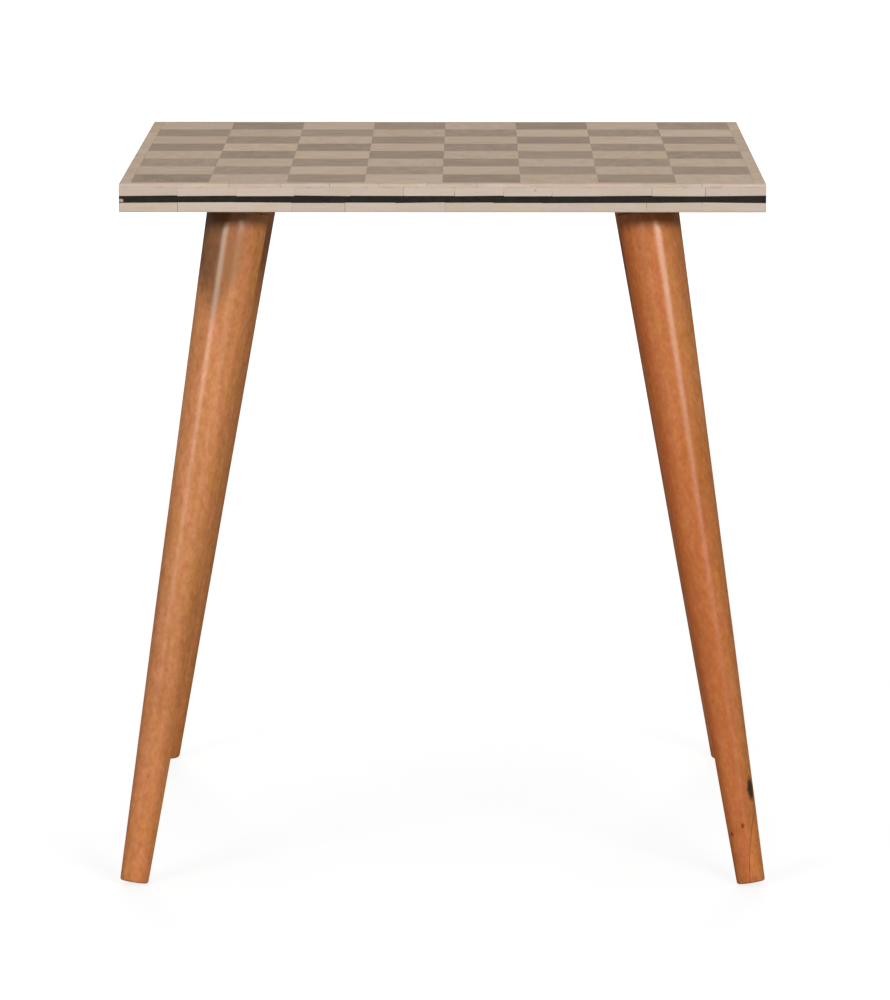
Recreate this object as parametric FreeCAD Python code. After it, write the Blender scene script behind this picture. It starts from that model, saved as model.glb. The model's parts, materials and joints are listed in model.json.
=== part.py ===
"""Checkerboard end table: a bone-inlaid square top on four splayed, turned wooden legs.

Millimetres, +Z up, -Y the front. The origin is on the floor, under the middle of the top.
The top is a core board with bone glued over its upper face and round its edge. Each leg
screws by a hanger bolt into the angled bush of a steel plate under the board.
"""

import FreeCAD
import Part

import math
import os

Vector = FreeCAD.Vector

# The table
TOP_SIDE = 450.0
TABLE_HEIGHT = 500.0

# Inlay over the upper face: a board of squares inside a border of slips
SQUARES_PER_SIDE = 8
BORDER_WIDTH = 8.0
FACE_INLAY_THICKNESS = 2.5
SQUARE_JOINT = 0.15

# Inlay round the edge: a band of slips, a black line and another band, as high as the core board
EDGE_INLAY_THICKNESS = 2.5
UPPER_BAND_HEIGHT = 6.0
BLACK_LINE_HEIGHT = 4.75
LOWER_BAND_HEIGHT = 6.75

# Slips of bone, laid from one end of a row and cut to fit at the other. Their lengths rise and
# fall in a slow wave, which starts at another angle, in radians, in each kind of row.
SLIP_LENGTH = 37.0
SLIP_VARIATION = 0.1  # share of a slip's length
SLIP_WAVE_STEP = 0.5  # radians from one slip to the next
SLIP_SHORTEST = 10.0
SLIP_JOINT = 0.35
BORDER_WAVE = 2.6
UPPER_BAND_WAVE = 1.2
LOWER_BAND_WAVE = 1.7

# Legs
LEG_INSET = 81.0  # edge of the top to where a leg's axis meets the underside
LEG_SPLAY = 12.5  # degrees off upright, towards the corner
LEG_TOP_DIAMETER = 44.0
LEG_FOOT_DIAMETER = 20.0
LEG_EDGE_ROUND = 2.0

# Steel plate under the top, one for each leg, with its sides along and across the splay
PLATE_SIDE = 60.0
PLATE_THICKNESS = 2.5
PLATE_CORNER_RADIUS = 6.0
PLATE_TO_LEG = 0.3  # plate to the nearest point of the leg's top edge
BUSH_DIAMETER = 20.0

# Hanger bolt, fixed in the leg and threaded into the bush
BOLT_DIAMETER = 8.0
BOLT_IN_LEG = 42.0
BOLT_PAST_UNDERSIDE = 5.0
BOLT_POINT_LENGTH = 6.0
BOLT_CHAMFER = 1.0
BOLT_ROOM = 1.0  # left past the bolt's point, and all round its end in the core board

# Countersunk screws that hold a plate
SCREW_DIAMETER = 4.0
SCREW_LENGTH = 14.0
SCREW_HEAD_DIAMETER = 8.0
SCREW_POINT_LENGTH = 4.0
SCREW_FROM_PLATE_SIDE = 8.0
RECESS_SPAN = 4.4
RECESS_WIDTH = 0.9
RECESS_DEPTH = 1.2

FIT = 0.05  # radial clearance of bolts and screws in their holes

# Heights in the top
CORE_TOP = TABLE_HEIGHT - FACE_INLAY_THICKNESS
BLACK_LINE_TOP = CORE_TOP - UPPER_BAND_HEIGHT
LOWER_BAND_TOP = BLACK_LINE_TOP - BLACK_LINE_HEIGHT
UNDERSIDE = LOWER_BAND_TOP - LOWER_BAND_HEIGHT

# Widths in the top
CORE_SIDE = TOP_SIDE - 2 * EDGE_INLAY_THICKNESS
BOARD_SIDE = TOP_SIDE - 2 * BORDER_WIDTH
SQUARE_PITCH = BOARD_SIDE / SQUARES_PER_SIDE

# Both ends of a leg are square to its axis, so its top edge comes nearest the plate on the outer
# side and it stands on the inner side of its foot. SEAT and FOOT are the heights of its ends
# along its axis, above where the axis meets the underside.
LEG_OFFSET = TOP_SIDE / 2 - LEG_INSET
LEG_TOP_RADIUS = LEG_TOP_DIAMETER / 2
LEG_FOOT_RADIUS = LEG_FOOT_DIAMETER / 2
SPLAY_SIN = math.sin(math.radians(LEG_SPLAY))
SPLAY_COS = math.cos(math.radians(LEG_SPLAY))
TOP_ROUND_RISE = LEG_EDGE_ROUND + (LEG_TOP_RADIUS - LEG_EDGE_ROUND) * SPLAY_SIN
FOOT_ROUND_RISE = LEG_EDGE_ROUND + (LEG_FOOT_RADIUS - LEG_EDGE_ROUND) * SPLAY_SIN
SEAT = LEG_EDGE_ROUND - (PLATE_THICKNESS + PLATE_TO_LEG + TOP_ROUND_RISE) / SPLAY_COS
FOOT = (FOOT_ROUND_RISE - UNDERSIDE) / SPLAY_COS - LEG_EDGE_ROUND

# Radii of the fixings
BUSH_RADIUS = BUSH_DIAMETER / 2
BOLT_RADIUS = BOLT_DIAMETER / 2
SCREW_RADIUS = SCREW_DIAMETER / 2
SCREW_HEAD_RADIUS = SCREW_HEAD_DIAMETER / 2

ORIGIN = Vector(0, 0, 0)
UP = Vector(0, 0, 1)

# Degrees that turn the front of the top to each of its sides
SIDES = {"front": 0, "right": 90, "back": 180, "left": 270}
CORNERS = {
    "front_left": (-1, -1),
    "front_right": (1, -1),
    "back_left": (-1, 1),
    "back_right": (1, 1),
}


def block(low, high):
    """A box between its lowest and highest corners."""
    size = [b - a for a, b in zip(low, high)]
    return Part.makeBox(*size, Vector(*low))


def turned(outline):
    """A solid turned about Z from edges in the XZ plane that start and end on Z."""
    start = outline[0].Vertexes[0].Point
    end = outline[-1].Vertexes[-1].Point
    wire = Part.Wire([*outline, Part.makeLine(end, start)])
    return Part.Face(wire).revolve(ORIGIN, UP, 360)


def straight_edges(*points):
    """Edges through points given as radius and height."""
    spots = [Vector(radius, 0, height) for radius, height in points]
    return [Part.makeLine(a, b) for a, b in zip(spots, spots[1:])]


# The inlaid top


def core_board():
    """The board that everything is fixed to, bored from below for the bolts and screws."""
    half = CORE_SIDE / 2
    board = block((-half, -half, UNDERSIDE), (half, half, CORE_TOP))
    bores = [at_corner(bore, corner) for corner in CORNERS.values() for bore in core_bores()]
    return board.cut(Part.makeCompound(bores))


def squares(parity):
    """Every second square of the board. Parity 0 holds the front left square."""
    solids = []
    for column in range(SQUARES_PER_SIDE):
        for row in range(SQUARES_PER_SIDE):
            if (column + row) % 2 == parity:
                low = [(SQUARE_JOINT - BOARD_SIDE) / 2 + n * SQUARE_PITCH for n in (column, row)]
                high = [n + SQUARE_PITCH - SQUARE_JOINT for n in low]
                solids.append(block((*low, CORE_TOP), (*high, TABLE_HEIGHT)))
    return Part.makeCompound(solids)


def slip_spans(length, wave):
    """Start and end of each slip in a row of that length about zero."""
    spans = []
    start = -length / 2
    while start < length / 2:
        swell = SLIP_VARIATION * math.sin(SLIP_WAVE_STEP * len(spans) + wave)
        end = start + SLIP_LENGTH * (1 + swell)
        if length / 2 - end < SLIP_SHORTEST:
            end = length / 2
        spans.append((start, end))
        start = end + SLIP_JOINT
    return spans


def row_length(side, depth):
    """Rows at the front and back run to the corners, and those at the sides fit between them."""
    return TOP_SIDE if side in ("front", "back") else TOP_SIDE - 2 * depth


def row(side, spans, depth, low, high):
    """Blocks along a side of the top, from its edge inwards by depth and from low to high."""
    edge = -TOP_SIDE / 2
    blocks = [block((start, edge, low), (end, edge + depth, high)) for start, end in spans]
    return Part.makeCompound(blocks).rotated(ORIGIN, UP, SIDES[side])


def border(side):
    """Slips beside the squares, on the upper face."""
    spans = slip_spans(row_length(side, BORDER_WIDTH), BORDER_WAVE + math.radians(SIDES[side]))
    return row(side, spans, BORDER_WIDTH - SQUARE_JOINT / 2, CORE_TOP, TABLE_HEIGHT)


def band(side, wave, low, high):
    """Slips on the edge of the core board."""
    length = row_length(side, EDGE_INLAY_THICKNESS)
    spans = slip_spans(length, wave + math.radians(SIDES[side]))
    return row(side, spans, EDGE_INLAY_THICKNESS, low, high)


def black_line(side):
    """The unbroken strip between the two bands."""
    half = row_length(side, EDGE_INLAY_THICKNESS) / 2
    return row(side, [(-half, half)], EDGE_INLAY_THICKNESS, LOWER_BAND_TOP, BLACK_LINE_TOP)


# A leg and its fixings, in a frame with its origin where the leg's axis meets the underside,
# +X towards the corner of the top and +Z up


def leaned(shape):
    """Tips a shape made along Z so that its lower end swings out with the leg."""
    return shape.rotated(ORIGIN, Vector(0, 1, 0), -LEG_SPLAY)


def at_corner(shape, corner):
    """Puts a shape from the leg's frame under one corner of the top."""
    x, y = corner
    facing = shape.rotated(ORIGIN, UP, math.degrees(math.atan2(y, x)))
    return facing.translated(Vector(x * LEG_OFFSET, y * LEG_OFFSET, UNDERSIDE))


def leg():
    """A straight taper with a rounded edge at both square ends, bored for its bolt."""
    foot_round = Vector(LEG_FOOT_RADIUS - LEG_EDGE_ROUND, 0, FOOT + LEG_EDGE_ROUND)
    top_round = Vector(LEG_TOP_RADIUS - LEG_EDGE_ROUND, 0, SEAT - LEG_EDGE_ROUND)
    taper = (top_round - foot_round).normalize()
    to_side = Vector(taper.z, 0, -taper.x) * LEG_EDGE_ROUND
    to_end = Vector(0, 0, LEG_EDGE_ROUND)
    down_and_out = Vector(1, 0, -1).normalize() * LEG_EDGE_ROUND
    up_and_out = Vector(1, 0, 1).normalize() * LEG_EDGE_ROUND
    outline = [
        Part.makeLine(Vector(0, 0, FOOT), foot_round - to_end),
        Part.Arc(foot_round - to_end, foot_round + down_and_out, foot_round + to_side).toShape(),
        Part.makeLine(foot_round + to_side, top_round + to_side),
        Part.Arc(top_round + to_side, top_round + up_and_out, top_round + to_end).toShape(),
        Part.makeLine(top_round + to_end, Vector(0, 0, SEAT)),
    ]
    depth = BOLT_IN_LEG + BOLT_ROOM
    bore = Part.makeCylinder(BOLT_RADIUS + FIT, depth, Vector(0, 0, SEAT - depth))
    return leaned(turned(outline).cut(bore))


def hanger_bolt():
    """A bolt with a wood point in the leg and a chamfered machine end above it."""
    point = SEAT - BOLT_IN_LEG
    outline = straight_edges(
        (0, point),
        (BOLT_RADIUS, point + BOLT_POINT_LENGTH),
        (BOLT_RADIUS, BOLT_PAST_UNDERSIDE - BOLT_CHAMFER),
        (BOLT_RADIUS - BOLT_CHAMFER, BOLT_PAST_UNDERSIDE),
        (0, BOLT_PAST_UNDERSIDE),
    )
    return leaned(turned(outline))


def bolt_bore(clearance):
    """The bolt's way up from the leg's top, grown by a clearance round it and past its end."""
    length = BOLT_PAST_UNDERSIDE + clearance - SEAT
    return leaned(Part.makeCylinder(BOLT_RADIUS + clearance, length, Vector(0, 0, SEAT)))


def angled_bush():
    """A threaded bush between the plate's flat face and the leg's square top."""
    reach = -2 * SEAT
    bush = leaned(Part.makeCylinder(BUSH_RADIUS, reach, Vector(0, 0, SEAT)))
    over_plate = block(
        (-BUSH_DIAMETER, -BUSH_DIAMETER, -PLATE_THICKNESS), (BUSH_DIAMETER, BUSH_DIAMETER, reach)
    )
    return bush.cut(over_plate).cut(bolt_bore(FIT))


def leg_plate():
    """A flat plate with rounded corners, countersunk holes and a slanting hole for the bolt."""
    half = PLATE_SIDE / 2
    plate = block((-half, -half, -PLATE_THICKNESS), (half, half, 0))
    uprights = [edge for edge in plate.Edges if edge.BoundBox.ZLength > edge.Length / 2]
    plate = plate.makeFillet(PLATE_CORNER_RADIUS, uprights)
    return plate.cut(Part.makeCompound([bolt_bore(FIT), *screw_bores()]))


def screw_spots():
    """Where the four screws of a plate stand."""
    reach = PLATE_SIDE / 2 - SCREW_FROM_PLATE_SIDE
    return [Vector(x, y, 0) for x in (-reach, reach) for y in (-reach, reach)]


def screw_solid(clearance):
    """A screw with its head down and flush with the plate, grown by a clearance."""
    face = -PLATE_THICKNESS
    end = face + SCREW_LENGTH + clearance
    outline = straight_edges(
        (0, face),
        (SCREW_HEAD_RADIUS + clearance, face),
        (SCREW_RADIUS + clearance, face + SCREW_HEAD_RADIUS - SCREW_RADIUS),
        (SCREW_RADIUS + clearance, end - SCREW_POINT_LENGTH),
        (0, end),
    )
    return turned(outline)


def plate_screws():
    """The four screws of one plate, each with a cross recess in its head."""
    face = -PLATE_THICKNESS
    half_span = RECESS_SPAN / 2
    half_width = RECESS_WIDTH / 2
    slot = block((-half_span, -half_width, face), (half_span, half_width, face + RECESS_DEPTH))
    cross = slot.fuse(slot.rotated(ORIGIN, UP, 90))
    screw = screw_solid(clearance=0).cut(cross)
    return Part.makeCompound([screw.translated(spot) for spot in screw_spots()])


def screw_bores():
    """What the four screws need cut from the plate and the core board."""
    bore = screw_solid(clearance=FIT)
    return [bore.translated(spot) for spot in screw_spots()]


def core_bores():
    """Blind holes in the core board for one bolt's end and four screws."""
    return [bolt_bore(BOLT_ROOM), *screw_bores()]


def nodes():
    """Every piece by the name of its node."""
    made = {
        "core_board": core_board(),
        "dark_squares": squares(parity=0),
        "light_squares": squares(parity=1),
    }
    for side in SIDES:
        made[f"top_border_{side}"] = border(side)
        made[f"upper_edge_band_{side}"] = band(side, UPPER_BAND_WAVE, BLACK_LINE_TOP, CORE_TOP)
        made[f"black_edge_line_{side}"] = black_line(side)
        made[f"lower_edge_band_{side}"] = band(side, LOWER_BAND_WAVE, UNDERSIDE, LOWER_BAND_TOP)
    leg_set = {
        "leg": leg(),
        "hanger_bolt": hanger_bolt(),
        "angled_bush": angled_bush(),
        "leg_plate": leg_plate(),
        "plate_screws": plate_screws(),
    }
    for corner_name, corner in CORNERS.items():
        for piece, shape in leg_set.items():
            made[f"{piece}_{corner_name}"] = at_corner(shape, corner)
    return made


os.makedirs("parts", exist_ok=True)
for node, shape in nodes().items():
    shape.exportStep(f"parts/{node}.step")
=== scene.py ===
"""Checkerboard end table: finishes, fine edges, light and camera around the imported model, in metres."""
import json
import math
import random

import bpy
from mathutils import Matrix, Vector

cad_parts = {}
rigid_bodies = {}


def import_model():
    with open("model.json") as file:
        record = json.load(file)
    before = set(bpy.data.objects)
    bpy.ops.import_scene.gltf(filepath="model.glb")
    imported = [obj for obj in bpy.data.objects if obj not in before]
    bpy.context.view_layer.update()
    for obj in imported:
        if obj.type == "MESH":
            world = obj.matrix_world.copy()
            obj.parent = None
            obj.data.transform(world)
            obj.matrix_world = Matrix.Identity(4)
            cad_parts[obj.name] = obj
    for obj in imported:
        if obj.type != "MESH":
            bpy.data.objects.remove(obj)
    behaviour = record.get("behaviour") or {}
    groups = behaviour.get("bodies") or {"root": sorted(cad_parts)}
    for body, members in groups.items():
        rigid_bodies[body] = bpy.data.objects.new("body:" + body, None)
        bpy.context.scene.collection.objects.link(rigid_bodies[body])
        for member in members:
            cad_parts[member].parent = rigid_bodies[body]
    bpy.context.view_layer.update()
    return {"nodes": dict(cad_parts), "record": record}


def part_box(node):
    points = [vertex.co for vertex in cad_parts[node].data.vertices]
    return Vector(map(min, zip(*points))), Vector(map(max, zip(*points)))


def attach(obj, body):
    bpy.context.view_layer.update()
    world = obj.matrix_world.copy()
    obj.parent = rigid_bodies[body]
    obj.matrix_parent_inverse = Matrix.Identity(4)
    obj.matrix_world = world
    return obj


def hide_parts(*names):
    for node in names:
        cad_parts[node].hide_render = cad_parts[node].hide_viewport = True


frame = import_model()
nodes = frame["nodes"]


# Core board: the panel that carries the inlay, hardwood strips glued edge to edge and planed flat.
# It is stained brown, and only its underside shows, between the plates that hold the legs.
CORE_STRIP_WIDTH = 0.0636
CORE_STAIN_DARK = (0.085, 0.036, 0.016)
CORE_STAIN_LIGHT = (0.23, 0.105, 0.045)
CORE_FIGURE = (7.0, 90.0, 90.0)  # repeats per metre along X, Y and Z, as for all patterns below
CORE_FIBRE = (30.0, 900.0, 900.0)
CORE_PORES = (70.0, 1500.0, 1500.0)
CORE_SHUFFLE = (7.3, 0.0, 2.9)  # how far a pattern moves from one piece to another
CORE_GLUE_LINE = (0.03, 0.014, 0.008)
CORE_GLUE_REACH = (0.4915, 0.498)  # from a strip's middle, in strip widths


def find_socket(sockets, name):
    """The socket of a node that is in use under a name, or at a number."""
    in_use = [socket for socket in sockets if socket.enabled]
    return in_use[name] if isinstance(name, int) else next(s for s in in_use if s.name == name)


class Socket:
    """A node's output in a finish. Arithmetic on sockets and numbers adds Math nodes to that finish."""

    def __init__(self, tree, output=None):
        self.tree = tree
        self.output = output

    def node(self, kind, settings, sockets, output=0):
        """Adds a node: its settings are made first, then its sockets get their values or links."""
        made = self.tree.nodes.new("ShaderNode" + kind)
        for name, value in settings.items():
            if name == "stops":
                ramp = made.color_ramp
                while len(ramp.elements) < len(value):
                    ramp.elements.new(1.0)
                for element, (position, colour) in zip(ramp.elements, value):
                    element.position = position
                    element.color = (*colour, 1.0)
            else:
                setattr(made, name, value)
        for name, value in sockets.items():
            socket = find_socket(made.inputs, name)
            if isinstance(value, Socket):
                self.tree.links.new(value.output, socket)
            elif socket.type == "RGBA":
                socket.default_value = (*value, 1.0)
            else:
                socket.default_value = value
        return Socket(self.tree, find_socket(made.outputs, output) if made.outputs else None)

    def maths(self, operation, *terms):
        """Adds a Math node that works on sockets and numbers."""
        return self.node("Math", {"operation": operation}, dict(enumerate(terms)))

    def __add__(self, other):
        return self.maths("ADD", self, other)

    def __radd__(self, other):
        return self.maths("ADD", other, self)

    def __sub__(self, other):
        return self.maths("SUBTRACT", self, other)

    def __rsub__(self, other):
        return self.maths("SUBTRACT", other, self)

    def __mul__(self, other):
        return self.maths("MULTIPLY", self, other)

    def __rmul__(self, other):
        return self.maths("MULTIPLY", other, self)

    def __truediv__(self, other):
        return self.maths("DIVIDE", self, other)

    def __rtruediv__(self, other):
        return self.maths("DIVIDE", other, self)


def start_finish(name):
    """A new material without nodes, and the Object coordinates that its pattern is drawn on."""
    finish = bpy.data.materials.new(name)
    finish.use_nodes = True
    finish.node_tree.nodes.clear()
    place = Socket(finish.node_tree).node("TexCoord", {}, {}, "Object")
    return finish, place


def end_finish(finish, sockets, sheen=None):
    """Gives the material its surface, with what varies linked and what is constant set on the shader.
    A satin sheen has a share, roughness and colour, and mirrors that share of light at every angle."""
    tree = Socket(finish.node_tree)
    surface = tree.node("BsdfPrincipled", {}, sockets)
    if sheen:
        share, roughness, colour = sheen
        gloss = tree.node("BsdfAnisotropic", {}, {"Color": colour, "Roughness": roughness})
        surface = tree.node("MixShader", {}, {0: share, 1: surface, 2: gloss})
    tree.node("OutputMaterial", {}, {"Surface": surface})
    return finish


def part_of(vector, axis):
    """One coordinate of a vector."""
    return vector.node("SeparateXYZ", {}, {"Vector": vector}, axis)


def stretch(vector, factors):
    """A vector with its coordinates multiplied, so that a pattern is long one way and fine the other."""
    return vector.node("VectorMath", {"operation": "MULTIPLY"}, {0: vector, 1: factors})


def shift(vector, amount, direction):
    """A vector moved by a varying amount along a direction, which gives each piece its own pattern."""
    return vector.node("VectorMath", {"operation": "MULTIPLY_ADD"}, {0: amount, 1: direction, 2: vector})


def mottle(vector, scale, detail=2.0):
    """Soft irregular blotches from 0 to 1, about one over each length of 1 / scale."""
    return vector.node("TexNoise", {}, {"Vector": vector, "Scale": scale, "Detail": detail})


def grain(vector, repeats, detail):
    """Blotches drawn out along the fibres, by their repeats per metre along X, Y and Z."""
    return mottle(stretch(vector, repeats), 1.0, detail)


def fade(value, start, end):
    """A smooth mask that is 0 before start and 1 past end, which may be the lower of the two."""
    return value.node(
        "MapRange",
        {"interpolation_type": "SMOOTHSTEP"},
        {"Value": value, "From Min": start, "From Max": end},
    )


def blend(mask, first, second):
    """The first colour where the mask is 0 and the second where it is 1."""
    return mask.node("Mix", {"data_type": "RGBA"}, {"Factor": mask, "A": first, "B": second})


def tinted(mask, colour, tint):
    """A colour multiplied by a tint around 1 where the mask is 1."""
    return colour.node(
        "Mix",
        {"data_type": "RGBA", "blend_type": "MULTIPLY"},
        {"Factor": mask, "A": colour, "B": tint},
    )


def shade(colour, brightness):
    """A colour made darker or lighter by a varying brightness around 1."""
    return tinted(1.0, colour, brightness)


def grain_bump(height, strength, depth):
    """The normals of a surface whose height varies over that depth."""
    return height.node("Bump", {}, {"Strength": strength, "Distance": depth, "Height": height}, "Normal")


def core_board_finish():
    """Strips along X, each with its own tone and figure, dark pores and thin glue lines."""
    finish, place = start_finish("stained_core_board")
    across = part_of(place, "Y") / CORE_STRIP_WIDTH + 0.5
    strip = across.maths("FLOOR", across)
    strip_tone = strip.node("TexWhiteNoise", {"noise_dimensions": "1D"}, {"W": strip}, "Value")
    own_place = shift(place, strip_tone, CORE_SHUFFLE)
    figure = grain(own_place, CORE_FIGURE, 3.0)
    fibre = grain(own_place, CORE_FIBRE, 2.0)
    pores = fade(grain(own_place, CORE_PORES, 1.0), 0.63, 0.72)
    tone = figure * 0.75 + fibre * 0.25 + (strip_tone - 0.5) * 0.35
    colour = blend(fade(tone, 0.25, 0.8), CORE_STAIN_DARK, CORE_STAIN_LIGHT)
    from_middle = across.maths("ABSOLUTE", across - strip - 0.5)
    glue_line = fade(from_middle, *CORE_GLUE_REACH)
    colour = blend(glue_line, shade(colour, 1.0 - pores * 0.45), CORE_GLUE_LINE)
    height = fibre * 0.5 - pores * 0.6 - glue_line
    return end_finish(finish, {
        "Base Color": colour,
        "Roughness": 0.5 + fibre * 0.2,
        "Normal": grain_bump(height, 0.25, 0.0003),
        "Specular IOR Level": 0.35,
    })


def dress(node, finish):
    """A CAD node that stays in view takes a finish through its material slots."""
    for place in nodes[node].material_slots:
        place.material = finish


dress("core_board", core_board_finish())


# Edge bands: two rows of hand-sawn bone slips round the board, glued on above and below a black line.
# The slips differ in length and tone, meet in thin joints, and their outer arrises are sanded round.
SIDES = {"front": 0, "right": 1, "back": 0, "left": 1}  # the axis that each side's rows run along
NEAR = 0.00001  # places closer than this are the same
SHARP_ANGLE = math.radians(50)
SMOOTH_ANGLE = math.radians(40)
ARRIS_ROUND = 0.0008
ARRIS_SEGMENTS = 4
JOINT_ROUND = 0.00006
SAW_WANDER = 0.0003
SLIP_TURN = 0.03  # radians to either side
PALE_BONE = (0.578, 0.476, 0.394)
PALE_BONE_YELLOW = (0.574, 0.456, 0.346)
PALE_BONE_PINK = (0.595, 0.456, 0.390)
BONE_FIBRES = (45.0, 620.0, 620.0)
BONE_CLOUDS = (55.0, 95.0, 95.0)
BONE_BLUSH = (60.0, 110.0, 110.0)
BONE_DEPTHS = (50.0, 105.0, 105.0)
BONE_CANALS = (420.0, 2600.0, 2600.0)
BONE_SHUFFLE = (3.7, 9.1, 5.3)
BLUSH_SHUFFLE = (11.0, 5.0, 17.0)
DEPTHS_SHUFFLE = (5.0, 23.0, 7.0)
BONE_SPECKS = 110.0
SPECK_BROWN = (0.42, 0.235, 0.135)
JOINT_BROWN = (0.36, 0.26, 0.185)
JOINT_CRUMBS = 130.0
JOINT_REACH = (0.0006, 0.0003)  # from the joint, where its brown starts and is full
# Painted highlight: the border's outer face just below the top is tinted paler, as if light caught its
# rounded arris.
RIM_PAINTED_HIGHLIGHT = (1.04, 1.08, 1.15)
RIM_HIGHLIGHT_REACH = (0.0002, 0.0008)  # below the top, where the paler face starts and is full
BONE_SHEEN = (0.008, 0.45, (1.0, 1.0, 1.0))  # share, roughness and colour
GLUE_SINK = 0.00006
GLUE_BROWN = (0.26, 0.185, 0.13)
GLUE_DUSTY = (0.54, 0.435, 0.345)
GLUE_DUST = 700.0
GLUE_FILLING = 70.0
top_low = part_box("lower_edge_band_front")[0]
top_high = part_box("top_border_back")[1]
border_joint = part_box("top_border_back")[0].z
draws = random.Random(8)


def bone_finish(name, plain, yellow, pink, tone_range, cloud_depth):
    """Bone with fibres along each piece, yellow and pink clouds, fine canals and a few brown specks.
    Pieces differ in brightness by the tone range, and clouds vary it inside one by the cloud depth.
    The border's outer face carries a painted highlight just below the top, and crumbs of brown glue lie
    in the joint below it."""
    finish, place = start_finish(name)
    cut = place.node("Attribute", {"attribute_name": "cut"}, {}, "Vector")
    seed = part_of(cut, "X")
    own_place = shift(place, seed, BONE_SHUFFLE)
    lying = place.node(
        "VectorRotate",
        {"rotation_type": "Z_AXIS"},
        {"Vector": own_place, "Angle": part_of(cut, "Y")},
    )
    tone = seed.node("TexWhiteNoise", {"noise_dimensions": "1D"}, {"W": seed * 91.0}, "Value")
    tint = seed.node("TexWhiteNoise", {"noise_dimensions": "1D"}, {"W": seed * 57.0 + 3.0}, "Value")
    fibres = grain(lying, BONE_FIBRES, 3.0)
    clouds = grain(lying, BONE_CLOUDS, 2.0)
    blush = mottle(shift(stretch(lying, BONE_BLUSH), seed, BLUSH_SHUFFLE), 1.0, 2.0)
    depths = mottle(shift(stretch(lying, BONE_DEPTHS), seed, DEPTHS_SHUFFLE), 1.0, 3.0)
    canals = fade(grain(lying, BONE_CANALS, 1.0), 0.66, 0.76)
    grit = own_place.node("TexVoronoi", {}, {"Vector": own_place, "Scale": BONE_SPECKS}, "Distance")
    pick = own_place.node("TexVoronoi", {}, {"Vector": own_place, "Scale": BONE_SPECKS}, "Color")
    specks = fade(grit, 0.16, 0.05) * fade(part_of(pick, "X"), 0.86, 0.9)
    colour = blend(fade(clouds + (tint - 0.5) * 0.16, 0.42, 0.68) * 0.85, plain, yellow)
    colour = blend(fade(blush - (tint - 0.5) * 0.14, 0.5, 0.72) * 0.8, colour, pink)
    brightness = 1.02 + (tone - 0.5) * tone_range + (depths - 0.5) * cloud_depth
    brightness = brightness + (fibres - 0.5) * 0.17 - canals * 0.16
    colour = blend(specks * 0.5, shade(colour, brightness), SPECK_BROWN)
    level = part_of(place, "Z")
    from_joint = level.maths("ABSOLUTE", level - border_joint)
    crumbs = fade(mottle(place, JOINT_CRUMBS, 3.0), 0.5, 0.64)
    joint = fade(from_joint, *JOINT_REACH) * (0.08 + crumbs * 0.36)
    on_border = fade(level, border_joint, border_joint + NEAR)
    # Painted highlight on the border's rounded arris, just below the top.
    rim_highlight = fade(top_high.z - level, *RIM_HIGHLIGHT_REACH) * on_border
    colour = blend(joint, tinted(rim_highlight, colour, RIM_PAINTED_HIGHLIGHT), JOINT_BROWN)
    return end_finish(finish, {
        "Base Color": colour,
        "Roughness": 0.56 + fibres * 0.16 + canals * 0.1,
        "Normal": grain_bump(fibres - canals * 0.6, 0.12, 0.0002),
        "Specular IOR Level": 0.0,
    }, BONE_SHEEN)


def lone(name, piece):
    """Names a piece and leaves it as the only one selected."""
    bpy.ops.object.select_all(action="DESELECT")
    piece.name = name
    piece.data.name = name
    piece.select_set(True)
    bpy.context.view_layer.objects.active = piece
    return piece


def pick_edges(piece, test):
    """Goes into edit mode with only those edges selected whose two ends pass the test."""
    bpy.ops.object.mode_set(mode="EDIT")
    bpy.ops.mesh.select_mode(type="EDGE")
    bpy.ops.mesh.select_all(action="DESELECT")
    bpy.ops.object.mode_set(mode="OBJECT")
    corners = piece.data.vertices
    for edge in piece.data.edges:
        edge.select = test(corners[edge.vertices[0]].co, corners[edge.vertices[1]].co)
    bpy.ops.object.mode_set(mode="EDIT")


def on_arris(first, last):
    """True where an edge lies on two outer faces of the tabletop, where sandpaper rounds it."""
    faces = 0
    for axis in range(3):
        for level in (top_low[axis], top_high[axis]):
            faces += abs(first[axis] - level) < NEAR and abs(last[axis] - level) < NEAR
    return faces > 1


def round_edges(piece, width, segments):
    """Rounds every sharp edge a little with a bevel, and smooths the shading of what is round."""
    bevel = piece.modifiers.new("rounding", "BEVEL")
    bevel.width = width
    bevel.segments = segments
    bevel.limit_method = "ANGLE"
    bevel.angle_limit = SHARP_ANGLE
    bpy.ops.object.modifier_apply(modifier=bevel.name)
    bpy.ops.object.shade_smooth_by_angle(angle=SMOOTH_ANGLE)


def mark_cut(piece, seed, lie):
    """Stores on a piece's faces the number of its tone and the angle at which its fibres lie."""
    cut = piece.data.attributes.new("cut", "FLOAT_VECTOR", "FACE")
    for face in cut.data:
        face.vector = (seed, lie, 0.0)


def slip_marks(node, along):
    """Where each slip of a CAD row starts and ends, in order along the row."""
    marks = []
    for mark in sorted(corner.co[along] for corner in nodes[node].data.vertices):
        if not marks or mark - marks[-1] > 10 * NEAR:
            marks.append(mark)
    return marks


def block(low, high):
    """A block between two corners, with its place in its mesh."""
    bpy.ops.mesh.primitive_cube_add(size=1.0, location=(low + high) / 2, scale=high - low)
    bpy.ops.object.transform_apply()
    return bpy.context.object


def join_blocks(name, blocks):
    """Several blocks as one object."""
    bpy.ops.object.select_all(action="DESELECT")
    for piece in blocks:
        piece.select_set(True)
    bpy.context.view_layer.objects.active = blocks[0]
    bpy.ops.object.join()
    return lone(name, blocks[0])


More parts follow.
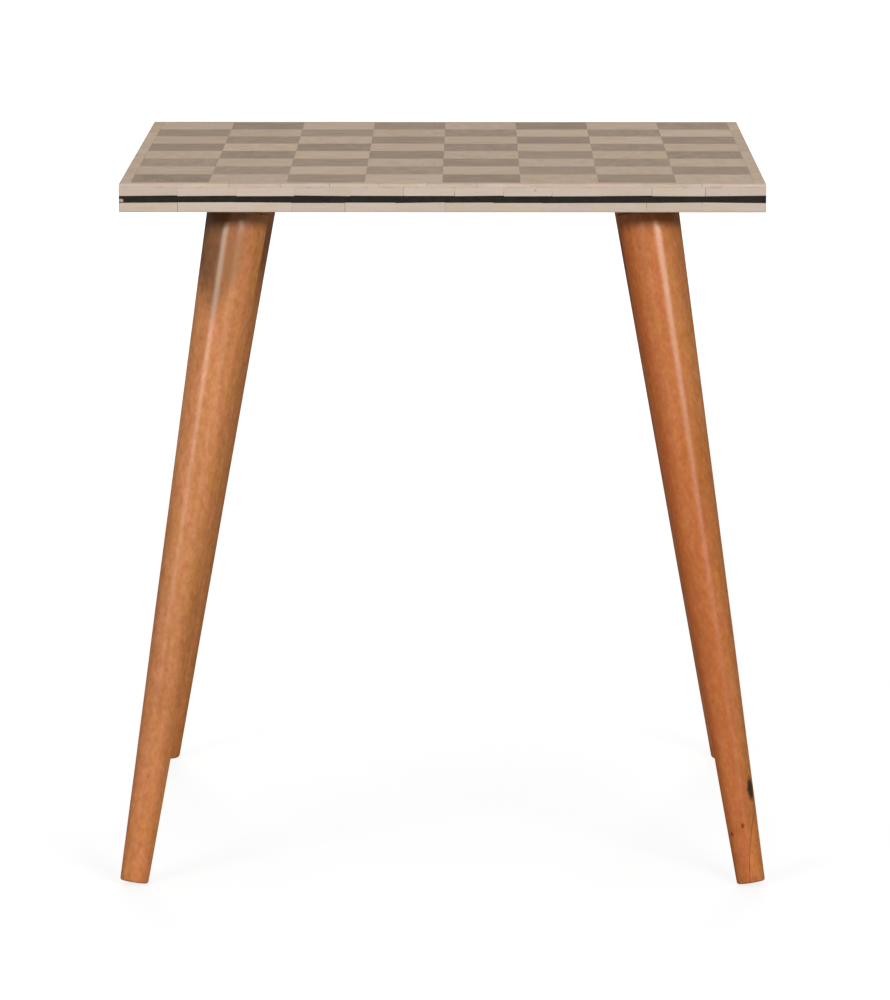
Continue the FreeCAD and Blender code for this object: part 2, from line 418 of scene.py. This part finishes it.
def lay_slips(node, along):
    """A row of slips, one block for each slip of the CAD row, as one object."""
    marks = slip_marks(node, along)
    slips = []
    for start, end in zip(marks[0::2], marks[1::2]):
        low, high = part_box(node)
        low[along] = start
        high[along] = end
        slip = block(low, high)
        mark_cut(slip, draws.random(), along * math.pi / 2 + draws.uniform(-SLIP_TURN, SLIP_TURN))
        slips.append(slip)
    return join_blocks(node.replace("_edge", "") + "_slips", slips)


def glue_slips(node, along):
    """The glue in the joints of a row: thin blocks between its slips, a hair below their faces."""
    marks = slip_marks(node, along)
    seams = []
    for start, end in zip(marks[1:-1:2], marks[2:-1:2]):
        low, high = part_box(node)
        for axis in range(3):
            if axis != along:
                low[axis] += GLUE_SINK * (abs(low[axis] - top_low[axis]) < NEAR)
                high[axis] -= GLUE_SINK * (abs(high[axis] - top_high[axis]) < NEAR)
        low[along] = start
        high[along] = end
        seams.append(block(low, high))
    return join_blocks(node.replace("_edge", "") + "_glue", seams)


def glue_finish():
    """Dried glue, mostly hidden by pale sanding dust and brown where the dust has fallen out."""
    finish, place = start_finish("dusty_glue")
    dust = mottle(place, GLUE_DUST, 3.0)
    filled = fade(mottle(place, GLUE_FILLING, 2.0), 0.36, 0.54)
    return end_finish(finish, {
        "Base Color": shade(blend(filled, GLUE_BROWN, GLUE_DUSTY), 0.85 + dust * 0.3),
        "Roughness": 0.6 + dust * 0.2,
        "Specular IOR Level": 0.0,
    })


def set_piece(piece, slot, finish, *stands_for):
    """Gives a finished piece its material and its place on the table, and hides what it stands for; the
    slot is not used.
    """
    piece.data.materials.clear()
    piece.data.materials.append(finish)
    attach(piece, "root")
    if stands_for:
        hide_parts(*stands_for)


def saw_line(marks, rises, place):
    """How far the sawn edges of a row stand above their true line, at a place along the row."""
    for start, end, rise, next_rise in zip(marks, marks[1:], rises, rises[1:]):
        if place <= end + NEAR:
            return rise + (next_rise - rise) * min(max((place - start) / (end - start), 0.0), 1.0)
    return rises[-1]


def wander(piece, along, level, marks, rises):
    """Moves the edges at a level up or down by the saw's wander, which differs from slip to slip."""
    for corner in piece.data.vertices:
        if abs(corner.co.z - level) < NEAR:
            corner.co.z += saw_line(marks, rises, corner.co[along])


def finish_row(row, slot, finish, *stands_for):
    """Rounds a row's outer arrises and its joints, and gives it its finish and its place."""
    pick_edges(row, on_arris)
    bpy.ops.mesh.bevel(offset=ARRIS_ROUND, segments=ARRIS_SEGMENTS)
    bpy.ops.object.mode_set(mode="OBJECT")
    round_edges(row, JOINT_ROUND, segments=1)
    set_piece(row, slot, finish, *stands_for)


pale_bone = bone_finish(
    "pale_bone", PALE_BONE, PALE_BONE_YELLOW, PALE_BONE_PINK, tone_range=0.08, cloud_depth=0.05
)
glue = glue_finish()
saw_marks = {}
for side, along in SIDES.items():
    for band in ("upper", "lower"):
        node = f"{band}_edge_band_{side}"
        marks = slip_marks(node, along)
        rises = [draws.uniform(-SAW_WANDER, SAW_WANDER) for mark in marks]
        saw_marks[band, side] = marks, rises
        slips = lay_slips(node, along)
        low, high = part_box(node)
        wander(slips, along, low.z if band == "upper" else high.z, marks, rises)
        finish_row(slips, "pale_bone", pale_bone, node)
        set_piece(glue_slips(node, along), "grey_bone", glue)


# Black line: a strip of black resin let in between the two bands and sanded flush with them.
# Its edges follow the saw cuts of the slips, and pale dust is left in it at the near left corner.
RESIN_BLACK = (0.016, 0.0135, 0.0115)
RESIN_GREY = (0.028, 0.024, 0.020)
RESIN_SHEEN = (0.004, 0.4, (1.0, 1.0, 1.0))
CHIP_PLACE = (-0.2236, -0.225, 0.48815)
CHIP_SIZE = (0.0016, 0.004, 0.0012)
CHIP_COLOUR = (0.46, 0.36, 0.28)
RESIN_DUST = 260.0
RESIN_SANDING = (90.0, 90.0, 2400.0)
CHIP_RAGGED = 900.0


def resin_finish():
    """Nearly black resin with faint grey sanding marks, and one chipped and dusty corner."""
    finish, place = start_finish("black_resin_line")
    dust = mottle(place, RESIN_DUST, 3.0)
    sanding = grain(place, RESIN_SANDING, 2.0)
    from_chip = place.node("VectorMath", {"operation": "SUBTRACT"}, {0: place, 1: CHIP_PLACE})
    across_chip = stretch(from_chip, tuple(1.0 / size for size in CHIP_SIZE))
    reach = place.node("VectorMath", {"operation": "LENGTH"}, {0: across_chip}, "Value")
    chip = fade(reach + (mottle(place, CHIP_RAGGED) - 0.5) * 1.2, 1.25, 0.75)
    colour = blend(fade(dust * 0.6 + sanding * 0.4, 0.35, 0.75), RESIN_BLACK, RESIN_GREY)
    return end_finish(finish, {
        "Base Color": blend(chip, colour, CHIP_COLOUR),
        "Roughness": 0.48 + sanding * 0.2,
        "Normal": grain_bump(sanding - chip, 0.1, 0.0002),
        "Specular IOR Level": 0.0,
    }, RESIN_SHEEN)


black_resin = resin_finish()
for side, along in SIDES.items():
    node = f"black_edge_line_{side}"
    low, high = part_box(node)
    line = lone(f"black_line_{side}", block(low, high))
    bpy.ops.object.mode_set(mode="EDIT")
    for mark in saw_marks["upper", side][0] + saw_marks["lower", side][0]:
        if low[along] + NEAR < mark < high[along] - NEAR:
            cut_place = [0.0, 0.0, 0.0]
            cut_place[along] = mark
            bpy.ops.mesh.select_all(action="SELECT")
            bpy.ops.mesh.bisect(plane_co=cut_place, plane_no=[axis == along for axis in range(3)])
    bpy.ops.object.mode_set(mode="OBJECT")
    wander(line, along, high.z, *saw_marks["upper", side])
    wander(line, along, low.z, *saw_marks["lower", side])
    finish_row(line, "black_resin", black_resin, node)


# Chessboard squares: eight rows of eight thin squares of bone, pale and stained grey by turns.
# They are glued on the board edge to edge, with a hair of glue between them, and sanded level.
SQUARES_PER_SIDE = 8
SQUARE_GLUE = 0.00015
SQUARE_ROUND = 0.00005
SQUARE_TURN = 0.12  # radians to either side
FACE_BONE = (0.553, 0.438, 0.338)
FACE_BONE_YELLOW = (0.546, 0.415, 0.287)
FACE_BONE_PINK = (0.580, 0.415, 0.331)
GREY_BONE = (0.371, 0.286, 0.2235)
GREY_BONE_BROWN = (0.356, 0.276, 0.198)
GREY_BONE_PINK = (0.391, 0.278, 0.220)


def pick_faces(piece, test):
    """Goes into edit mode with only those faces selected whose middle and normal pass the test."""
    bpy.ops.object.mode_set(mode="EDIT")
    bpy.ops.mesh.select_mode(type="FACE")
    bpy.ops.mesh.select_all(action="DESELECT")
    bpy.ops.object.mode_set(mode="OBJECT")
    for face in piece.data.polygons:
        face.select = test(face.center, face.normal)
    bpy.ops.object.mode_set(mode="EDIT")


def split_picked(piece, name):
    """Takes the picked faces out of a piece as an object of their own."""
    before = set(bpy.data.objects)
    bpy.ops.mesh.separate(type="SELECTED")
    bpy.ops.object.mode_set(mode="OBJECT")
    (taken,) = set(bpy.data.objects) - before
    return lone(name, taken)


def thicken(piece, depth):
    """Draws the faces of a flat piece down into solids of that depth."""
    bpy.ops.object.mode_set(mode="EDIT")
    bpy.ops.mesh.select_all(action="SELECT")
    bpy.ops.mesh.extrude_region_move(TRANSFORM_OT_translate={"value": (0.0, 0.0, -depth)})
    bpy.ops.mesh.select_all(action="SELECT")
    bpy.ops.mesh.normals_make_consistent(inside=False)
    bpy.ops.object.mode_set(mode="OBJECT")


def is_dark_square(middle, normal):
    """True for the squares of the near left corner's colour."""
    column = math.floor((middle.x - field_low.x) / square_side)
    row = math.floor((middle.y - field_low.y) / square_side)
    return (column + row) % 2 == 0


field_low = Vector(map(min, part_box("light_squares")[0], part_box("dark_squares")[0]))
field_high = Vector(map(max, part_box("light_squares")[1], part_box("dark_squares")[1]))
field_low -= Vector((SQUARE_GLUE / 2, SQUARE_GLUE / 2, 0.0))
field_high += Vector((SQUARE_GLUE / 2, SQUARE_GLUE / 2, 0.0))
square_side = (field_high.x - field_low.x) / SQUARES_PER_SIDE
square_depth = field_high.z - field_low.z
bpy.ops.mesh.primitive_grid_add(
    x_subdivisions=SQUARES_PER_SIDE,
    y_subdivisions=SQUARES_PER_SIDE,
    size=field_high.x - field_low.x,
    location=(0.0, 0.0, field_high.z),
)
bpy.ops.object.transform_apply()
seams = lone("square_glue", bpy.context.object)
bpy.ops.object.mode_set(mode="EDIT")
bpy.ops.mesh.select_all(action="SELECT")
bpy.ops.mesh.inset(thickness=SQUARE_GLUE / 2, use_individual=True)
squares = split_picked(seams, "pale_squares")
cut = squares.data.attributes.new("cut", "FLOAT_VECTOR", "FACE")
for face in cut.data:
    seed = draws.random()
    lie = draws.choice((0.0, math.pi / 2)) + draws.uniform(-SQUARE_TURN, SQUARE_TURN)
    face.vector = (seed, lie, 0.0)
pick_faces(squares, is_dark_square)
dark_squares = split_picked(squares, "grey_squares")
face_bone = bone_finish(
    "pale_face_bone", FACE_BONE, FACE_BONE_YELLOW, FACE_BONE_PINK, tone_range=0.11, cloud_depth=0.31
)
grey_bone = bone_finish(
    "grey_face_bone", GREY_BONE, GREY_BONE_BROWN, GREY_BONE_PINK, tone_range=0.22, cloud_depth=0.50
)
for piece, bone, slot, node in (
    (squares, face_bone, "pale_bone", "light_squares"),
    (dark_squares, grey_bone, "grey_bone", "dark_squares"),
):
    lone(piece.name, piece)
    thicken(piece, square_depth)
    round_edges(piece, SQUARE_ROUND, segments=1)
    set_piece(piece, slot, bone, node)
lone(seams.name, seams)
thicken(seams, square_depth)
for corner in seams.data.vertices:
    if corner.co.z > field_high.z - NEAR:
        corner.co.z -= GLUE_SINK
set_piece(seams, "grey_bone", glue)


# Top border: a narrow frame of pale bone slips round the squares, level with them.
# It covers the upper edge of the board, and its outer arris is the tabletop's rim.
for side, along in SIDES.items():
    node = f"top_border_{side}"
    finish_row(lay_slips(node, along), "pale_bone", face_bone, node)
    set_piece(glue_slips(node, along), "grey_bone", glue)


# Leg plates: square steel plates with rounded corners, screwed under the board at its four corners.
# They are stamped, drilled and powder-coated black, with their stamped edges slightly round.
CORNERS = ("front_left", "front_right", "back_left", "back_right")
PLATE_EDGE_ROUND = 0.0004
POWDER_BLACK = (0.016, 0.016, 0.017)
POWDER_WORN = (0.045, 0.044, 0.043)
POWDER_PEBBLES = 1500.0
POWDER_RUBS = 120.0
FLAT_ANGLE = math.radians(1)


def powder_coat_finish():
    """Black powder coat: a fine pebbled skin with small lighter rubs."""
    finish, place = start_finish("black_powder_coat")
    pebbles = mottle(place, POWDER_PEBBLES, 2.0)
    rubs = fade(mottle(place, POWDER_RUBS, 4.0), 0.58, 0.75)
    return end_finish(finish, {
        "Base Color": blend(rubs, POWDER_BLACK, POWDER_WORN),
        "Roughness": 0.38 + pebbles * 0.2 + rubs * 0.1,
        "Normal": grain_bump(pebbles, 0.35, 0.0003),
    })


powder_coat = powder_coat_finish()
for corner_name in CORNERS:
    node = f"leg_plate_{corner_name}"
    plate = bpy.data.objects.new(node, nodes[node].data.copy())
    bpy.context.scene.collection.objects.link(plate)
    lone(f"stamped_plate_{corner_name}", plate)
    bpy.ops.object.mode_set(mode="EDIT")
    bpy.ops.mesh.select_all(action="SELECT")
    bpy.ops.mesh.remove_doubles(threshold=NEAR)
    bpy.ops.mesh.dissolve_limited(angle_limit=FLAT_ANGLE)
    bpy.ops.object.mode_set(mode="OBJECT")
    round_edges(plate, PLATE_EDGE_ROUND, segments=2)
    set_piece(plate, "black_steel", powder_coat, node)


# Bushes, hanger bolts and screws: turned and cold-headed steel with a thin coat of zinc.
# A bush is welded to each plate at the legs' slope, and a bolt in the leg screws into it.
ZINC_LIGHT = (0.60, 0.59, 0.57)
ZINC_DARK = (0.36, 0.36, 0.35)
ZINC_CRYSTALS = 420.0
ZINC_TURNING = (60.0, 60.0, 5200.0)


def zinc_finish():
    """Zinc-coated steel with cloudy crystals and fine turning marks."""
    finish, place = start_finish("zinc_steel")
    crystals = mottle(place, ZINC_CRYSTALS, 3.0)
    turning = grain(place, ZINC_TURNING, 2.0)
    return end_finish(finish, {
        "Base Color": blend(fade(crystals * 0.7 + turning * 0.3, 0.35, 0.7), ZINC_DARK, ZINC_LIGHT),
        "Roughness": 0.3 + crystals * 0.2,
        "Normal": grain_bump(turning, 0.15, 0.0001),
        "Metallic": 1.0,
    })


zinc_steel = zinc_finish()
for corner_name in CORNERS:
    for fixing in ("angled_bush", "hanger_bolt", "plate_screws"):
        dress(f"{fixing}_{corner_name}", zinc_steel)


# Legs: four round legs, each turned from one length of reddish hardwood to a straight taper.
# The ends are sanded round, the top is bored for its bolt, and the whole is stained and lacquered.
LEG_SIDES = 96
LEG_RINGS = 24
LEG_TOP_RADIUS = 0.022
LEG_FOOT_RADIUS = 0.010
LEG_END_ROUND = 0.0016
LEG_END_SEGMENTS = 6
LEG_BORE_RADIUS = 0.00405
LEG_BORE_DEPTH = 0.042
TURNING_WANDER = 0.0003
TURNING_LENGTH = 0.07
LEG_SHUFFLE = 1.7
LEG_TONES = {  # the dark, middle and light of each leg's grain
    "front_left": ((0.340, 0.122, 0.036), (0.547, 0.218, 0.069), (0.692, 0.314, 0.120)),
    "front_right": ((0.316, 0.080, 0.018), (0.480, 0.133, 0.031), (0.616, 0.216, 0.066)),
    "back_left": ((0.312, 0.099, 0.026), (0.502, 0.176, 0.050), (0.642, 0.266, 0.094)),
    "back_right": ((0.307, 0.086, 0.021), (0.482, 0.152, 0.040), (0.622, 0.240, 0.078)),
}
LEG_CONTRAST = {"front_left": 0.80, "front_right": 0.68, "back_left": 0.75, "back_right": 0.75}
LEG_TINTS = {  # heights above the foot, with each leg's tint there
    "front_left": (
        (0.035, (1.06, 0.94, 0.86)),
        (0.100, (1.02, 0.94, 0.93)),
        (0.200, (0.96, 0.92, 0.91)),
        (0.300, (1.10, 1.08, 1.12)),
    ),
    "front_right": (
        (0.030, (0.98, 1.00, 0.95)),
        (0.100, (1.02, 1.06, 1.00)),
        (0.300, (1.01, 1.02, 0.97)),
        (0.360, (1.08, 1.20, 1.24)),
    ),
    "back_left": ((0.03, (1.03, 1.00, 0.68)), (0.12, (1.01, 1.06, 0.85)), (0.30, (1.02, 1.08, 0.98))),
    "back_right": ((0.15, (0.98, 0.95, 0.88)), (0.40, (1.04, 1.06, 1.06))),
}
WOOD_BLOTCHES = (220.0, 220.0, 125.0)
WOOD_BANDS = (85.0, 85.0, 9.0)
WOOD_FIBRES = (430.0, 430.0, 270.0)
WOOD_PATCHES = (130.0, 130.0, 34.0)
WOOD_PORES = (1700.0, 1700.0, 110.0)
GRAIN_LEAN = (0.12, 0.05, 0.0)
BLUSH_LEAN = (3.0, 8.0, 0.0)
WOOD_BLUSH = (1.05, 0.99, 1.24)
WOOD_GOLD = (0.99, 1.14, 1.12)
WOOD_SHEEN = (0.021, 0.25, (1.0, 0.95, 0.84))
# Painted shade: each front leg's inner side is tinted redder and less blue, as the shade that falls
# there.
INNER_SIDE_PAINTED_SHADE = {  # where the tint starts and is full, from -1 to 1 across the leg, and the tint
    "front_left": (0.2, 0.8, (0.96, 0.94, 0.78)),
    "front_right": (-0.45, -0.9, (1.0, 0.88, 0.68)),
}
# Painted light: the inner outline of the front left leg is lightened against the shade along it.
INNER_EDGE_PAINTED_LIGHT = (1.16, 1.17, 1.15)
# Painted shade: the upper inner side of the front right leg is darkened and reddened.
UPPER_INSIDE_PAINTED_SHADE = (0.90, 0.84, 0.72)
WOOD_SMOKE = (0.150, 0.062, 0.022)
SMOKE_TIP = (-0.33, 0.397)  # place across the leg and height above the foot
SMOKE_SPREAD = 0.048
SMOKE_RAGGED = 0.025
SMOKE_EDGE = (-0.010, 0.020)
KNOT_BLACK = (0.030, 0.008, 0.001)
KNOT_RED = (0.26, 0.034, 0.004)
FOOT_SPOT_BROWN = (0.26, 0.095, 0.036)
KNOTS_AND_SPOTS = (  # height above the foot, place across the leg, size, strength and colour
    (0.0660, 0.82, (0.0031, 0.0040, 0.0080), 1.0, KNOT_BLACK),
    (0.0412, 0.00, (0.0013, 0.0022, 0.0017), 1.0, KNOT_RED),
    (0.0362, -0.76, (0.0012, 0.0022, 0.0017), 1.0, KNOT_RED),
    # The last row turns a small spot just above the foot's end brown.
    (0.0028, 0.28, (0.0024, 0.0030, 0.0016), 0.6, FOOT_SPOT_BROWN),
)
KNOT_RAGGED = 600.0
CRACK_START = -0.08  # across the leg at its foot, with the lean and the curve upwards from there
CRACK_LEAN = 8.5
CRACK_CURVE = 220.0
CRACK_TOP = (0.053, 0.047)


def spot(place, centre, size, ragged):
    """A mask that is 1 within an ellipsoid round a point of the leg, with a ragged edge."""
    from_centre = place.node("VectorMath", {"operation": "SUBTRACT"}, {0: place, 1: centre})
    across = stretch(from_centre, tuple(1.0 / reach for reach in size))
    reach = place.node("VectorMath", {"operation": "LENGTH"}, {0: across}, "Value")
    return fade(reach + (ragged - 0.5) * 0.6, 1.35, 0.55)


def leg_point(height, sideways):
    """A point on the near side of a leg: sideways is from -1 at its left outline to 1 at its right."""
    radius = LEG_FOOT_RADIUS + (LEG_TOP_RADIUS - LEG_FOOT_RADIUS) * height / leg_length
    return (sideways * radius, -radius * math.sqrt(1.0 - sideways ** 2), height)


def leg_finish(corner_name, foot, turn, tones, own_shift):
    """Straight-grained wood with streaks, clouds, pores and own marks under satin lacquer, and painted
    shade and light.
    """
    finish, place = start_finish(f"lacquered_leg_{corner_name}")
    leg_place = place.node(
        "Mapping",
        {"vector_type": "TEXTURE"},
        {"Vector": place, "Location": foot, "Rotation": turn},
    )
    own_place = place.node("VectorMath", {"operation": "ADD"}, {0: leg_place, 1: own_shift})
    height = part_of(leg_place, "Z")
    radius = height * ((LEG_TOP_RADIUS - LEG_FOOT_RADIUS) / leg_length) + LEG_FOOT_RADIUS
    sideways = part_of(leg_place, "X") / radius
    near_side = fade(part_of(leg_place, "Y"), 0.001, -0.002)
    leaning = shift(own_place, height, GRAIN_LEAN)
    blotches = grain(leaning, WOOD_BLOTCHES, 3.0)
    bands = grain(own_place, WOOD_BANDS, 2.0)
    fibres = grain(own_place, WOOD_FIBRES, 2.0)
    blush = mottle(shift(stretch(leaning, WOOD_PATCHES), height, BLUSH_LEAN), 1.0, 2.0)
    pores = fade(grain(own_place, WOOD_PORES, 1.0), 0.66, 0.76)
    tone = blotches * 0.38 + bands * 0.30 + fibres * 0.32
    tone = (tone - 0.5) * LEG_CONTRAST[corner_name] + 0.5
    dark, middle, light = tones
    colour = tone.node("ValToRGB", {"stops": ((0.3, dark), (0.5, middle), (0.7, light))}, {"Fac": tone})
    tint = height.node("ValToRGB", {"stops": LEG_TINTS[corner_name]}, {"Fac": height})
    colour = tinted(1.0, colour, tint)
    colour = tinted(fade(blush, 0.42, 0.66), colour, WOOD_BLUSH)
    colour = shade(colour, 1.0 - pores * 0.14)
    # Painted shade on the inner side of each front leg.
    if corner_name in INNER_SIDE_PAINTED_SHADE:
        inwards, outline, inner_painted_shade = INNER_SIDE_PAINTED_SHADE[corner_name]
        colour = tinted(fade(sideways, inwards, outline) * near_side, colour, inner_painted_shade)
    if corner_name == "front_left":
        tip_place, tip_height = SMOKE_TIP
        from_tip = sideways.maths("ABSOLUTE", sideways - tip_place)
        ragged = (blotches + bands - 1.0) * SMOKE_RAGGED
        rise = height - tip_height - from_tip * SMOKE_SPREAD + ragged
        depth = 0.8 - fade(sideways, -0.45, -0.1) * 0.3 - fade(sideways, 0.05, 0.7) * 0.5
        smoke = fade(rise, *SMOKE_EDGE) * depth * (0.6 + blotches * 0.8)
        colour = blend(smoke * near_side, colour, WOOD_SMOKE)
        # Painted light along the front left leg's inner outline.
        colour = tinted(fade(sideways, 0.74, 0.96) * near_side, colour, INNER_EDGE_PAINTED_LIGHT)
    if corner_name == "front_right":
        # Painted shade on the upper inner side of the front right leg.
        upper_inside_painted_shade = fade(sideways, -0.55, -0.85) * fade(height, 0.34, 0.39) * near_side
        colour = tinted(upper_inside_painted_shade, colour, UPPER_INSIDE_PAINTED_SHADE)
        ragged = mottle(own_place, KNOT_RAGGED)
        for mark_height, aside, size, strength, mark_colour in KNOTS_AND_SPOTS:
            mark_mask = spot(leg_place, leg_point(mark_height, aside), size, ragged) * strength
            colour = blend(mark_mask, colour, mark_colour)
        colour = tinted(fade(sideways, 0.25, 0.55), colour, WOOD_GOLD)
        crack_line = height * CRACK_LEAN + height * height * CRACK_CURVE + CRACK_START
        below_knot = fade(height, *CRACK_TOP) * near_side
        crack = fade(crack_line.maths("ABSOLUTE", sideways - crack_line), 0.035, 0.012)
        colour = shade(colour, 1.0 + fade(sideways - crack_line, 0.0, 0.1) * below_knot * 0.15)
        colour = blend(crack * below_knot * 0.75, colour, KNOT_RED)
    return end_finish(finish, {
        "Base Color": colour,
        "Roughness": 0.4 + fibres * 0.1 + pores * 0.1,
        "Normal": grain_bump(fibres * 0.6 - pores * 0.5, 0.05, 0.0002),
        "Specular IOR Level": 0.0,
    }, WOOD_SHEEN)


def upright_leg(length):
    """One leg standing on its foot end at the origin: a taper with round ends and a bore in its top."""
    bpy.ops.mesh.primitive_cone_add(
        vertices=LEG_SIDES,
        radius1=LEG_FOOT_RADIUS,
        radius2=LEG_TOP_RADIUS,
        depth=length,
        location=(0.0, 0.0, length / 2),
    )
    bpy.ops.object.transform_apply()
    leg = lone("upright_leg", bpy.context.object)
    pick_edges(leg, lambda first, last: abs(first.z - last.z) < NEAR)
    bpy.ops.mesh.bevel(offset=LEG_END_ROUND, segments=LEG_END_SEGMENTS)
    bpy.ops.object.mode_set(mode="OBJECT")
    pick_faces(leg, lambda middle, normal: normal.z > 0.999)
    bpy.ops.mesh.inset(thickness=LEG_TOP_RADIUS - LEG_END_ROUND - LEG_BORE_RADIUS)
    bpy.ops.mesh.extrude_region_move(TRANSFORM_OT_translate={"value": (0.0, 0.0, -LEG_BORE_DEPTH)})
    bpy.ops.object.mode_set(mode="OBJECT")
    pick_edges(leg, lambda first, last: abs(first.z - last.z) > length / 2)
    bpy.ops.mesh.subdivide(number_cuts=LEG_RINGS)
    bpy.ops.object.mode_set(mode="OBJECT")
    return leg


def leg_stand(corner_name):
    """Where a leg's foot stands, which way the leg rises from it, and how long the leg is."""
    mount = mounts[f"foot_end_{corner_name}"]
    foot = Vector(mount["pos_m"])
    upwards = -Vector(mount["axis"]).normalized()
    corners = nodes[f"leg_{corner_name}"].data.vertices
    return foot, upwards, max(upwards.dot(corner.co - foot) for corner in corners)


mounts = {mount["name"]: mount for mount in frame["record"]["mounts"]}
turning_texture = bpy.data.textures.new("turning_wander", "CLOUDS")
turning_texture.noise_scale = TURNING_LENGTH
leg_length = leg_stand(CORNERS[0])[2]
pattern = upright_leg(leg_length)
for number, corner_name in enumerate(CORNERS):
    node = f"leg_{corner_name}"
    foot, upwards = leg_stand(corner_name)[:2]
    leg = pattern.copy()
    leg.data = pattern.data.copy()
    bpy.context.scene.collection.objects.link(leg)
    lone(f"turned_leg_{corner_name}", leg)
    backwards = (Vector((0.0, 1.0, 0.0)) - upwards * upwards.y).normalized()
    turn = Matrix((backwards.cross(upwards), backwards, upwards)).transposed().to_euler()
    leg.location = foot
    leg.rotation_euler = turn
    bpy.ops.object.transform_apply()
    lathe = leg.modifiers.new("lathe", "DISPLACE")
    lathe.texture = turning_texture
    lathe.mid_level = 0.5
    lathe.strength = TURNING_WANDER
    bpy.ops.object.modifier_apply(modifier=lathe.name)
    bpy.ops.object.shade_smooth_by_angle(angle=SMOOTH_ANGLE)
    own_shift = (0.0, 0.0, LEG_SHUFFLE * number)
    wood = leg_finish(corner_name, foot, turn, LEG_TONES[corner_name], own_shift)
    set_piece(leg, "leg_wood", wood, node)
bpy.data.objects.remove(pattern)


# Studio: a plain white floor with the table's soft shadow, two low and wide softboxes in front at the
# left and the right, one overhead, a large one high behind, and an even pale surround.
FLOOR_SIDE = 40.0
FLOOR_WHITE = (0.3, 0.3, 0.3)
GLOW_NEAR = 0.80
GLOW_FAR = 0.95
GLOW_REACH = (0.6, 4.0)  # from the table's middle
SURROUND = 0.25
SURROUND_WHITE = (1.0, 1.0, 1.0)
LAMPS = (  # name, place, width and length, and power in watts
    ("left_softbox", (-2.46, -3.52, 1.44), (1.40, 0.40), 66.0),
    ("right_softbox", (1.80, -3.88, 1.44), (1.60, 0.40), 92.0),
    ("top_softbox", (0.0, 0.2, 2.4), (1.6, 1.6), 7.0),
    ("back_softbox", (0.0, 6.5, 5.0), (3.0, 3.0), 214.0),
)
LAMP_AIM = Vector((0.0, 0.0, 0.45))


def seen_directly(tree):
    """1 for what the camera sees, straight or through a reflection or glass, and 0 for lighting."""
    kinds = ("Camera", "Glossy", "Transmission")
    straight, mirrored, through = [tree.node("LightPath", {}, {}, f"Is {kind} Ray") for kind in kinds]
    return tree.maths("MAXIMUM", straight, tree.maths("MAXIMUM", mirrored, through))


def floor_finish():
    """A white floor that glows for the camera, so that only shadows darken it, and open from below."""
    finish, place = start_finish("white_floor")
    matt = place.node("BsdfDiffuse", {}, {"Color": FLOOR_WHITE})
    away = place.node("VectorMath", {"operation": "LENGTH"}, {0: place}, "Value")
    brightness = GLOW_NEAR + fade(away, *GLOW_REACH) * (GLOW_FAR - GLOW_NEAR)
    glow = place.node("Emission", {}, {"Color": brightness, "Strength": seen_directly(place)})
    upper = place.node("AddShader", {}, {0: matt, 1: glow})
    below = place.node("NewGeometry", {}, {}, "Backfacing")
    clear = place.node("BsdfTransparent", {}, {})
    surface = place.node("MixShader", {}, {0: below, 1: upper, 2: clear})
    place.node("OutputMaterial", {}, {"Surface": surface})
    return finish


bpy.ops.mesh.primitive_plane_add(size=FLOOR_SIDE)
floor = lone("studio_floor", bpy.context.object)
floor.data.materials.append(floor_finish())
for name, place, (width, length), power in LAMPS:
    bpy.ops.object.light_add(type="AREA", location=place)
    lamp = bpy.context.object
    lamp.name = name
    lamp.data.shape = "RECTANGLE"
    lamp.data.size = width
    lamp.data.size_y = length
    lamp.data.energy = power
    lamp.rotation_euler = (LAMP_AIM - Vector(place)).to_track_quat("-Z", "Y").to_euler()
world = bpy.data.worlds.new("studio_surround")
world.use_nodes = True
world.node_tree.nodes.clear()
sky = Socket(world.node_tree)
strength = seen_directly(sky) * (1.0 - SURROUND) + SURROUND
glow = sky.node("Background", {}, {"Color": SURROUND_WHITE, "Strength": strength})
sky.node("OutputWorld", {}, {"Surface": glow})
bpy.context.scene.world = world


# Camera: in front of the table and a little above it, at the photograph's distance and framing.
# Its place, tilt and lens were fitted to the corners of the top and the outlines of the legs.
CAMERA_PLACE = (0.01956, -4.14169, 0.91979)
CAMERA_DOWN = 9.314  # degrees
CAMERA_LEFT = 0.26
CAMERA_LENS = 203.85  # millimetres
CAMERA_SENSOR = 36.0
bpy.ops.object.camera_add(location=CAMERA_PLACE)
camera = bpy.context.object
camera.rotation_euler = (math.radians(90.0 - CAMERA_DOWN), 0.0, math.radians(CAMERA_LEFT))
camera.data.sensor_width = CAMERA_SENSOR
camera.data.lens = CAMERA_LENS
bpy.context.scene.camera = camera
bpy.context.scene.view_settings.view_transform = "Standard"
